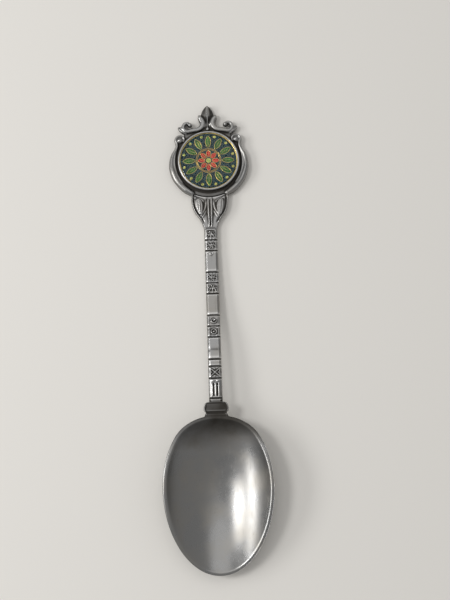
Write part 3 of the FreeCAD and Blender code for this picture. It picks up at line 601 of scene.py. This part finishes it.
def blankShadeAndTarnish(x, y, z, lift):
    # patina and painted shade about the neck, and a painted dark reflection fading from it into
    # the bowl;
    #  darker in a soft band on the last plain panel and over the bracket; the bowl shows nothing
    #  but this
    neck = smoothStep(neckY + 6.5, neckY + 2.4, y) * smoothStep(neckY - 11.0, neckY - 0.5, y)
    band = ridge(y - grooveStops()[8] + 3.0, 0.5)
    bracket = smoothStep(footY - 1.0, footY + 4.0, y)
    keep = smoothStep(neckY - 1.0, neckY + 0.8, y) * (1 - 0.35 * bracket)
    return (lift > 0.2) * (0.68 * neck + 0.4 * band + 0.16 * bracket), keep


spoonBlank = makePiece("spoonBlank", blankParts(), "spoon_blank")
markPatinaAndShade(spoonBlank, passes=40, depth=0.06, shadeAndTarnish=blankShadeAndTarnish)
print("spoon blank: struck sheet done,", len(spoonBlank.data.polygons), "faces")


crest = {
    "strandHeight": 1.12, "strandFoot": 0.12, "seatHeight": 1.3, "webThickness": 1.0,
    "waistBends": ((5.0, 36), (-2.2, 60)), "shoulderCurl": 1.05, "innerCurl": 0.7,
    "scrollStart": (2.35, 11.5), "scrollRadius": 1.75, "hookRadius": 1.1,
    "finial": {"base": 8.4, "shoulder": 11.9, "reach": 14.4, "half": 1.6,
               "height": 1.0, "fold": 0.35, "spine": 0.55, "flanks": (-7, 3.5)},
    "sidePetal": (1.3, 10.3), "sidePetalSize": (0.75, 1.9, 0.85),
    "shoulderLeaf": (6.15, 8.0), "shoulderLeafSize": (0.62, 1.5, 0.82),
    "voxel": 0.11,
}


def crestPaths():
    # the right side's band, up to its shoulder volute, and the scroll over it, down to its hook
    curl, hook = crest["shoulderCurl"], crest["hookRadius"]
    start = onCircle(bandRadius, math.radians(-66))
    band = followArcs(start, 24, [(bandRadius, 66), *crest["waistBends"],
                                  (curl, 170), (curl * crest["innerCurl"], 100)])
    start = (crest["scrollStart"][0], crestY + crest["scrollStart"][1])
    scroll = followArcs(start, 200, [(crest["scrollRadius"], 155), (-12, 9),
                                     (hook, 165), (hook * crest["innerCurl"], 100)])
    return band, scroll


def crescent(radius, fromAngle, sweep):
    # part of a circle round the badge, with its headings
    start = onCircle(radius, math.radians(fromAngle))
    return followArcs(start, fromAngle + 90, [(radius, sweep)])[:2]


def bladeParts():
    # the finial's pointed blade: hollow flanks that rise to a spine along its middle.
    # z = height + fold (1 - |v|) + spine exp(-(v/0.3)^2), v from -1 to 1 across the blade
    blade = crest["finial"]
    y = crestY + np.linspace(blade["base"], blade["reach"] - 0.02, 70)[:, None]
    base = (0.5, crestY + blade["base"])
    shoulder = (blade["half"], crestY + blade["shoulder"])
    tip = (0.12, crestY + blade["reach"])
    lower, upper = blade["flanks"]
    half = np.where(y < shoulder[1], arcHalf(y, base, shoulder, lower),
                    arcHalf(y, shoulder, tip, upper))
    v = np.sin(np.linspace(-1, 1, 33) * math.pi / 2)[None, :]
    fade = smoothStep(0, 0.7, tip[1] - y) * 0.6 + 0.4
    rise = blade["fold"] * (1 - np.abs(v)) + blade["spine"] * ridge(v, 0.3)
    top = blade["height"] + fade * rise - 0.25 * smoothStep(0.85, 1, np.abs(v))
    under = np.zeros_like(v[:, ::4]) + 0.02 + 0 * y
    x = np.hstack([half * v, half * v[:, ::-4]])
    z = np.hstack([top, under])
    return gridParts(np.stack([x, y + 0 * x, z], axis=-1))


def webParts(band, scroll):
    # the flat backing between the strands, one prism: on each side from the band's last two
    # bends back along the scroll, to where the scroll comes nearest the middle
    (bandPath, _, bends), (path, _, starts) = band, scroll
    nearest = np.argmin(path[:starts[1], 0])
    right = np.concatenate([bandPath[bends[2:4]], path[nearest:starts[2]][::-6]])
    line = np.concatenate([right, (right * np.array([-1, 1]))[::-1]])
    return gridParts(np.stack([np.insert(line, 2, height, axis=1)
                               for height in (0.02, crest["webThickness"])]))


def crestParts():
    # tapers are (places along the strand, values there): half widths, then rises
    band, scroll = crestPaths()
    base, seat = crest["strandHeight"], crest["seatHeight"]
    sunk = base - crest["strandFoot"]
    disc = [(0.01, 0), (bandRadius - 0.2, 0), (bandRadius, 0.2), (bandRadius, 1.0),
            (bandRadius - 0.3, seat), (0.01, seat)]
    parts = [latheParts(disc), webParts(band, scroll), bladeParts()]
    # the band, the scroll, a fat crescent over the band's lower half and a thin one inside it
    strands = [
        (band[:2], ([0, 0.1, 0.3, 0.5, 0.62, 0.72, 0.85, 1],
                    [0.6, 0.85, 0.82, 0.66, 0.45, 0.38, 0.36, 0.34]),
         ([0, 0.12, 0.5, 0.75, 1], [0.7, 0.85, 0.75, 0.85, 0.72]), 24, 0),
        (scroll[:2], ([0, 0.2, 0.5, 1], [0.5, 0.72, 0.62, 0.36]),
         ([0, 0.3, 1], [0.8, 0.95, 0.75]), 24, 0.16),
        (crescent(bandRadius + 0.1, -64, 80),
         ([0, 0.2, 0.45, 0.7, 0.88, 1], [0.3, 0.6, 0.8, 0.72, 0.42, 0.12]),
         ([0, 0.6, 1], [0.75, 0.98, 0.5]), 24, 0),
        (crescent(bandRadius - 0.66, -40, 66), ([0, 0.5, 1], [0.24, 0.36, 0.26]), 0.7, 14, 0),
    ]
    eyes = [(band[0][-1] + np.array([0.6, 0.45]), (0.82, 0.82, 0.98)),
            (scroll[0][-1], (0.58, 0.58, 0.9))]
    petals = [(crest["sidePetal"], crest["sidePetalSize"], 25),
              (crest["shoulderLeaf"], crest["shoulderLeafSize"], 50)]
    for side in (1, -1):
        parts += [strandParts(*onSide(side, *path), width, rise, base, sunk, around, crease)
                  for path, width, rise, around, crease in strands]
        parts += [blobParts((side * x, y, base), radii) for (x, y), radii in eyes]
        parts += [blobParts((side * x, crestY + y, base), radii, -side * lean, groove=0.3)
                  for (x, y), radii, lean in petals]
    beadY = crestY + crest["finial"]["base"] - 0.15
    parts.append(blobParts((0, beadY, base), (0.5, 0.5, 0.75)))
    return parts


def remeshed(piece, voxel):
    # one closed skin over all the overlapping strands
    modifier = piece.modifiers.new("skin", "REMESH")
    modifier.mode = "VOXEL"
    modifier.voxel_size = voxel * mm
    modifier.use_smooth_shade = True
    shown = piece.evaluated_get(bpy.context.evaluated_depsgraph_get())
    shape = bpy.data.meshes.new_from_object(shown)
    piece.modifiers.clear()
    piece.data = shape
    shape.shade_smooth()


crestFrame = makePiece("crestFrame", joinParts(crestParts()), "crest_frame")
remeshed(crestFrame, crest["voxel"])
relax(crestFrame, passes=3)


def crestShadeAndPatina(x, y, z, lift):
    # patina and painted shade in the ring about the cup, and painted shade over the web and low on
    # the strands' flanks
    reach = np.hypot(x, y - crestY)
    moat = smoothStep(8.35, 8.0, reach) * smoothStep(7.0, 7.3, reach)
    return (lift > -0.2) * np.maximum(0.9 * moat, 0.75 * smoothStep(1.75, 1.05, z)), 1


markPatinaAndShade(crestFrame, passes=14, depth=0.09, shadeAndTarnish=crestShadeAndPatina)
print("crest: scrollwork done,", len(crestFrame.data.polygons), "faces")


badge = {
    "wall": 0.3, "lip": 0.42, "lipOuterRound": 0.26, "lipInnerRound": 0.1,
    "edge": 0.12, "crown": 0.74, "shoulder": 0.1,
    "rim": 0.3, "floor": 0.25, "round": 0.03,
    "fillDrop": 0.04, "fill": {"height": 0.02, "sunk": 0.08},
    "wireHalf": 0.055, "wireDrop": 0.035, "wire": {"height": 0.03, "sunk": 0.06, "around": 10},
    "veinHalf": 0.035, "veinDrop": 0.03, "vein": {"height": 0.025, "sunk": 0.04, "around": 10},
    "leaves": {"count": 12, "middle": 4.75, "length": 3.1, "width": 1.3},
    "petals": {"count": 8, "middle": 1.7, "length": 1.75, "width": 1.02},
    "ringRadius": 2.87, "ringHalf": 0.15,
    "budRadius": 0.28, "budReach": 6.15, "bossRadius": 0.55,
}


def cupParts():
    # a flat-bottomed cup whose wall ends in a bright rolled lip of two radii
    low, high = cupBox[0, 2], cupBox[1, 2]
    outer, inner = badge["lipOuterRound"], badge["lipInnerRound"]
    mouth = cupRadius - badge["lip"]
    turn = np.radians(np.linspace(0, 90, 7))
    profile = [(0.01, low), (cupRadius - 0.1, low), (cupRadius, low + 0.1)]
    profile += zip(cupRadius - outer + outer * np.cos(turn), high - outer + outer * np.sin(turn))
    profile += zip(mouth + inner - inner * np.sin(turn), high - inner + inner * np.cos(turn))
    inside, floor = cupRadius - badge["wall"], low + badge["floor"]
    profile += [(mouth, high - 0.17), (inside, high - 0.19), (inside, floor), (0.01, floor)]
    return latheParts(profile, 200)


def domeParts():
    # resin that bulges a little and rounds over at the rim:
    # height = edge + crown (1 - s^2) + shoulder sqrt(1 - s^10), s from the middle to the rim
    box = boxOf("badge_lens")
    radius, low = (box[1, 0] - box[0, 0]) / 2, box[0, 2]
    s = np.sin(np.linspace(1, 0.001, 60) * math.pi / 2)
    bulge = badge["crown"] * (1 - s ** 2) + badge["shoulder"] * np.sqrt(1 - s ** 10)
    profile = [(0.01, low), (radius / 2, low), (radius - 0.12, low),
               (radius - badge["round"], low), (radius, low + badge["round"]),
               *zip(radius * s, low + badge["edge"] + bulge)]
    return latheParts(profile, 200)


def discParts(radius, low, top):
    # a flat disc with a small round at its upper rim
    corner = badge["round"]
    profile = [(0.01, low), (radius, low), (radius, top - corner), (radius - corner, top),
               (radius - 0.12, top), (radius / 2, top), (0.01, top)]
    return latheParts(profile)


def plateParts(top):
    # the stamped plate under the enamel, with its raised rim
    box = boxOf("badge_plate")
    outer, inner, low = box[1, 0], box[1, 0] - badge["rim"], box[0, 2]
    floor, corner = low + badge["floor"], 0.04
    profile = [(0.01, low), (outer, low), (outer, top - corner), (outer - corner, top),
               (inner + corner, top), (inner, top - corner), (inner, floor),
               (inner - 0.1, floor), (0.01, floor)]
    return latheParts(profile)


def cellParts(cell, top):
    # leaves of two equal arcs set round the badge; each gives its fill, two wires and a vein.
    # Half width at t from -1 to 1: sqrt(R^2 - (t L)^2) - (R - W), with R = (L^2 + W^2) / 2W
    t = np.linspace(-1, 1, 33)
    reach, girth = cell["length"] / 2, cell["width"] / 2
    arc = (reach ** 2 + girth ** 2) / (2 * girth)
    half = np.sqrt(arc ** 2 - (reach * t) ** 2) - (arc - girth)
    fillHalf = np.maximum(half - badge["wireHalf"] / 2, 0.02)
    fills, wires = [], []
    for index in range(cell["count"]):
        angle = math.pi / 2 + 2 * math.pi * index / cell["count"]
        out = np.array([math.cos(angle), math.sin(angle)])
        sideways = np.array([-out[1], out[0]])
        line = (cell["middle"] + reach * t)[:, None] * out + np.array([0, crestY])
        angles = np.full(len(t), angle)
        fills.append(strandParts(line, angles, ((t + 1) / 2, fillHalf),
                                 base=top - badge["fillDrop"], **badge["fill"]))
        for side in (1, -1):
            edge = line + side * half[:, None] * sideways
            heading = np.arctan2(np.gradient(edge[:, 1]), np.gradient(edge[:, 0]))
            wires.append(strandParts(edge, heading, badge["wireHalf"],
                                     base=top - badge["wireDrop"], **badge["wire"]))
        wires.append(strandParts(line[5:25], angles[5:25], badge["veinHalf"],
                                 base=top - badge["veinDrop"], **badge["vein"]))
    return fills, wires


def buds():
    # (x, y, radius) of the round cells: one in the centre and one between each pair of leaves
    count = badge["leaves"]["count"]
    turns = math.pi / 2 + 2 * math.pi * (np.arange(count) + 0.5) / count
    return [(0, crestY, badge["bossRadius"])] + [
        (*onCircle(badge["budReach"], turn), badge["budRadius"]) for turn in turns]


def badgePieces():
    # a wreath of leaves round an eight-petalled rosette, in coloured enamel between gilt wires
    low, top = boxOf("enamel_ground")[:, 2]
    leafFills, leafWires = cellParts(badge["leaves"], top)
    petalFills, petalWires = cellParts(badge["petals"], top)
    ring, ringHalf, level = badge["ringRadius"], badge["ringHalf"], top - badge["fillDrop"]
    wire = (badge["wireHalf"], badge["wire"]["height"], top - badge["wireDrop"])
    budFills = [blobParts((x, y, level), (radius, radius, 0.022)) for x, y, radius in buds()]
    budWires = [ringParts(radius, *wire, (x, y), 32) for x, y, radius in buds()]
    ringWires = [ringParts(ring + offset, *wire, (0, crestY)) for offset in (-ringHalf, ringHalf)]
    plate = [plateParts(top - 0.002), *leafWires, *petalWires, *budWires, *ringWires]
    groundRadius = boxOf("badge_plate")[1, 0] - badge["rim"] + 0.01
    return {
        "badgeCup": (cupParts(), "badge_cup"),
        "badgePlate": (joinParts(plate), "badge_plate"),
        "groundEnamel": (discParts(groundRadius, low, level - 0.008), "enamel_ground"),
        "leafEnamel": (joinParts(leafFills), "enamel_leaves"),
        "petalEnamel": (joinParts(petalFills), "enamel_ribbon"),
        "ringEnamel": (ringParts(ring, ringHalf, 0.015, level, (0, crestY)), "enamel_stem"),
        "budEnamel": (joinParts(budFills), "enamel_flowers"),
        "badgeDome": (domeParts(), "badge_lens"),
    }


badgeParts = {name: makePiece(name, *made) for name, made in badgePieces().items()}
print("badge: cup, enamel and dome done")


def newMaterial(name):
    material = bpy.data.materials.new(name)
    material.use_nodes = True
    tree = material.node_tree
    return material, tree, tree.nodes["Principled BSDF"]


def node(tree, kind, **values):
    made = tree.nodes.new("ShaderNode" + kind)
    for key, value in values.items():
        if key in made.inputs:
            made.inputs[key].default_value = value
        else:
            setattr(made, key, value)
    return made


def setInputs(made, values):
    # a link where the value comes from a node, and a plain setting otherwise
    for label, value in values.items():
        if isinstance(value, bpy.types.NodeSocket):
            made.id_data.links.new(value, made.inputs[label])
        else:
            made.inputs[label].default_value = value


def mixColour(tree, factor, first, second):
    mix = node(tree, "Mix", data_type="RGBA")
    setInputs(mix, {0: factor, 6: first, 7: second})
    return mix.outputs[2]


def rangeOf(tree, *values):
    # the value, then the range it comes from and the range it is mapped to
    made = node(tree, "MapRange")
    setInputs(made, dict(enumerate(values)))
    return made.outputs[0]


def combine(tree, operation, first, second):
    made = node(tree, "Math", operation=operation)
    made.use_clamp = operation != "MULTIPLY"
    setInputs(made, {0: first, 1: second})
    return made.outputs[0]


def objectNoise(tree, scale, detail, stretch=(1, 1, 1)):
    place = node(tree, "TexCoord")
    mapping = node(tree, "Mapping", Scale=stretch)
    noise = node(tree, "TexNoise", Scale=scale, Detail=detail)
    setInputs(mapping, {"Vector": place.outputs["Object"]})
    setInputs(noise, {"Vector": mapping.outputs["Vector"]})
    return noise.outputs["Fac"]


def addBump(tree, shader, height, strength, distance):
    bump = node(tree, "Bump", Strength=strength, Distance=distance)
    setInputs(bump, {"Height": height})
    setInputs(shader, {"Normal": bump.outputs["Normal"]})


def agedSilverGroup():
    # tarnish clouds, dark patina in the recesses together with the painted shade that shares its
    # mask, bright worn edges and hairline scratches
    tree = bpy.data.node_groups.new("agedSilver", "ShaderNodeTree")
    for name, kind in (("Recess", "NodeSocketFloat"), ("Edge", "NodeSocketFloat"),
                       ("Plating", "NodeSocketColor"), ("PatinaAndShade", "NodeSocketColor"),
                       ("Tarnish", "NodeSocketFloat"), ("Scratches", "NodeSocketFloat")):
        tree.interface.new_socket(name, in_out="INPUT", socket_type=kind)
    for name, kind in (("Color", "NodeSocketColor"), ("Roughness", "NodeSocketFloat"),
                       ("Height", "NodeSocketFloat")):
        tree.interface.new_socket(name, in_out="OUTPUT", socket_type=kind)
    inside = tree.nodes.new("NodeGroupInput").outputs
    outside = tree.nodes.new("NodeGroupOutput")
    clouds = objectNoise(tree, 160, 5)
    specks = objectNoise(tree, 1500, 3)
    hairs = rangeOf(tree, objectNoise(tree, 260, 2, (9, 1, 9)), 0.6, 0.72, 0, 1)
    crossHairs = rangeOf(tree, objectNoise(tree, 300, 2, (1, 12, 9)), 0.62, 0.74, 0, 1)
    clouded = combine(tree, "MULTIPLY", rangeOf(tree, clouds, 0.42, 0.68, 0, 1),
                      inside["Tarnish"])
    colour = mixColour(tree, clouded, inside["Plating"], (0.33, 0.30, 0.25, 1))
    speckled = rangeOf(tree, specks, 0.66, 0.74, 0, 0.35)
    colour = mixColour(tree, speckled, colour, (0.22, 0.2, 0.17, 1))
    uneven = rangeOf(tree, clouds, 0.3, 0.7, -0.12, 0.12)
    # the first mask is patina in the hollows together with painted shade; both darken towards one
    # colour
    depth = combine(tree, "ADD", inside["Recess"], uneven)
    dark = rangeOf(tree, depth, 0.12, 0.8, 0, 0.93)
    colour = mixColour(tree, dark, colour, inside["PatinaAndShade"])
    bright = rangeOf(tree, inside["Edge"], 0.25, 0.9, 0, 0.5)
    colour = mixColour(tree, bright, colour, (0.8, 0.79, 0.77, 1))
    hair, crossHair = (combine(tree, "MULTIPLY", mask, inside["Scratches"])
                       for mask in (hairs, crossHairs))
    rough = combine(tree, "ADD", rangeOf(tree, clouds, 0.3, 0.7, 0.23, 0.36),
                    combine(tree, "MULTIPLY", hair, 0.14))
    rough = combine(tree, "ADD", rough, combine(tree, "MULTIPLY", dark, 0.35))
    scratched = combine(tree, "MULTIPLY", combine(tree, "ADD", hair, crossHair), 0.2)
    height = combine(tree, "ADD", combine(tree, "MULTIPLY", specks, 0.25), 0.3)
    height = combine(tree, "SUBTRACT", height, scratched)
    setInputs(outside, {"Color": colour, "Roughness": rough, "Height": height})
    return tree


agedSilver = agedSilverGroup()


def silverMaterial(name, plating, tarnish, scratches=0.5, carved=True):
    material, tree, shader = newMaterial(name)
    aged = node(tree, "Group", node_tree=agedSilver)
    setInputs(aged, {"Plating": (*plating, 1), "PatinaAndShade": (0.035, 0.031, 0.026, 1),
                           "Tarnish": tarnish, "Scratches": scratches})
    if carved:
        # the first mask is patina in the hollows together with painted shade; the second is bright
        # wear on raised edges
        for label in ("recess", "edge"):
            mask = node(tree, "Attribute", attribute_name=label)
            setInputs(aged, {label.capitalize(): mask.outputs["Fac"]})
    setInputs(shader, {"Base Color": aged.outputs["Color"], "Metallic": 1.0,
                             "Roughness": aged.outputs["Roughness"]})
    addBump(tree, shader, aged.outputs["Height"], strength=0.3, distance=0.00006)
    return material


def enamelMaterial(name, colour, shade):
    material, tree, shader = newMaterial(name)
    clouds = rangeOf(tree, objectNoise(tree, 420, 4), 0.35, 0.65, 0, 1)
    setInputs(shader, {
        "Base Color": mixColour(tree, clouds, (*colour, 1), (*shade, 1)),
        "Roughness": rangeOf(tree, objectNoise(tree, 900, 2), 0.3, 0.7, 0.16, 0.3),
        "Specular IOR Level": 0.15})
    addBump(tree, shader, objectNoise(tree, 800, 3), strength=0.15, distance=0.00004)
    return material


def giltMaterial():
    material, tree, shader = newMaterial("giltWire")
    wear = rangeOf(tree, objectNoise(tree, 700, 4), 0.4, 0.7, 0, 1)
    setInputs(shader, {
        "Base Color": mixColour(tree, wear, (0.62, 0.46, 0.13, 1), (0.4, 0.3, 0.1, 1)),
        "Roughness": rangeOf(tree, objectNoise(tree, 1200, 2), 0.3, 0.7, 0.22, 0.36),
        "Metallic": 1.0})
    return material


def domeMaterial():
    # clear resin; light reaches the enamel under it, so it throws no dark shadow
    material, tree, shader = newMaterial("clearDome")
    setInputs(shader, {"Base Color": (0.98, 0.985, 0.98, 1), "Roughness": 0.04,
                             "IOR": 1.24, "Transmission Weight": 1.0})
    rays = node(tree, "LightPath")
    through = node(tree, "BsdfTransparent")
    mix = node(tree, "MixShader")
    setInputs(mix, {0: rays.outputs["Is Shadow Ray"], 1: shader.outputs[0],
                          2: through.outputs[0]})
    setInputs(tree.nodes["Material Output"], {"Surface": mix.outputs[0]})
    return material


def finish(piece, material):
    piece.data.materials.clear()
    piece.data.materials.append(material)


finish(spoonBlank, silverMaterial("struckSilver", (0.27, 0.268, 0.264), tarnish=0.4))
finish(crestFrame, silverMaterial("castSilver", (0.28, 0.277, 0.27), tarnish=0.3))
cupSilver = silverMaterial("cupSilver", (0.46, 0.457, 0.45), tarnish=0.15, carved=False)
finish(badgeParts["badgeCup"], cupSilver)
finish(badgeParts["badgeDome"], domeMaterial())
finish(badgeParts["badgePlate"], giltMaterial())
enamels = {
    "groundEnamel": ("tealEnamel", (0.004, 0.024, 0.028), (0.002, 0.013, 0.017)),
    "petalEnamel": ("redEnamel", (0.42, 0.012, 0.014), (0.28, 0.006, 0.01)),
    "ringEnamel": ("brownEnamel", (0.09, 0.03, 0.016), (0.05, 0.018, 0.012)),
    "leafEnamel": ("greenEnamel", (0.012, 0.066, 0.011), (0.032, 0.105, 0.015)),
    "budEnamel": ("limeEnamel", (0.3, 0.34, 0.08), (0.2, 0.28, 0.06)),
}
for part, look in enamels.items():
    finish(badgeParts[part], enamelMaterial(*look))
curedGlue = enamelMaterial("curedGlue", (0.6, 0.57, 0.45), (0.5, 0.46, 0.35))
finish(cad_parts["badge_adhesive"], curedGlue)
dullSolder = silverMaterial("dullSolder", (0.45, 0.45, 0.45), tarnish=0.4, scratches=0.2,
                            carved=False)
finish(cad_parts["crest_solder"], dullSolder)
print("finishes: done")


stage = {
    "floorSize": 3.0,
    "floorColour": (0.79, 0.765, 0.72),
    "keyLamp": ((-0.3, 0.03, 0.45), (0.14, 0.14), 0.72),
    "windowLamp": ((-0.5, 0.0, 0.31), (0.42, 0.16), 1.1),
    "overheadLamp": ((0.0, 0.22, 0.54), (0.42, 0.42), 0.36),
    "sky": 0.42,
    "focalLength": 66.24,
    "tilt": 10,
    "turn": -1.86,
    "aim": (2.89, 7.26, 3.03),
    "distance": 0.26266,
}


def addFloor():
    half = stage["floorSize"] / 2
    mesh = bpy.data.meshes.new("table")
    corners = [(-half, -half, 0), (half, -half, 0), (half, half, 0), (-half, half, 0)]
    mesh.from_pydata(corners, [], [(0, 1, 2, 3)])
    table = addObject("table", mesh)
    material, _, shader = newMaterial("paleTable")
    setInputs(shader, {"Base Color": (*stage["floorColour"], 1), "Roughness": 0.85})
    finish(table, material)


def addLamp(name):
    # an oval lamp at its place in metres, turned towards the middle of the spoon
    place, size, power = stage[name]
    lamp = bpy.data.lights.new(name, "AREA")
    lamp.shape, lamp.energy = "ELLIPSE", power
    lamp.size, lamp.size_y = size
    holder = addObject(name, lamp)
    holder.location = place
    direction = -np.array(place)
    holder.rotation_euler = (math.acos(-direction[2] / np.linalg.norm(direction)), 0,
                             math.atan2(direction[1], direction[0]) - math.pi / 2)


def addSky():
    world = bpy.data.worlds.new("studio")
    world.use_nodes = True
    background = world.node_tree.nodes["Background"]
    setInputs(background, {"Color": (1, 1, 1, 1), "Strength": stage["sky"]})
    bpy.context.scene.world = world


def addCamera():
    # 80 degrees over the table, leaning towards the bowl, and turned slightly off the spoon's
    # line; it looks at a point in millimetres from a distance in metres
    lens = bpy.data.cameras.new("camera")
    lens.lens, lens.sensor_width = stage["focalLength"], 36.0
    lens.clip_start = 0.01
    camera = addObject("camera", lens)
    tilt, turn = math.radians(stage["tilt"]), math.radians(stage["turn"])
    back = np.array([math.sin(turn) * math.sin(tilt), -math.cos(turn) * math.sin(tilt),
                     math.cos(tilt)])
    camera.location = np.array(stage["aim"]) * mm + back * stage["distance"]
    camera.rotation_euler = (tilt, 0, turn)
    bpy.context.scene.camera = camera


addFloor()
for lampName in ("keyLamp", "windowLamp", "overheadLamp"):
    addLamp(lampName)
addSky()
addCamera()
bpy.context.scene.view_settings.view_transform = "Standard"
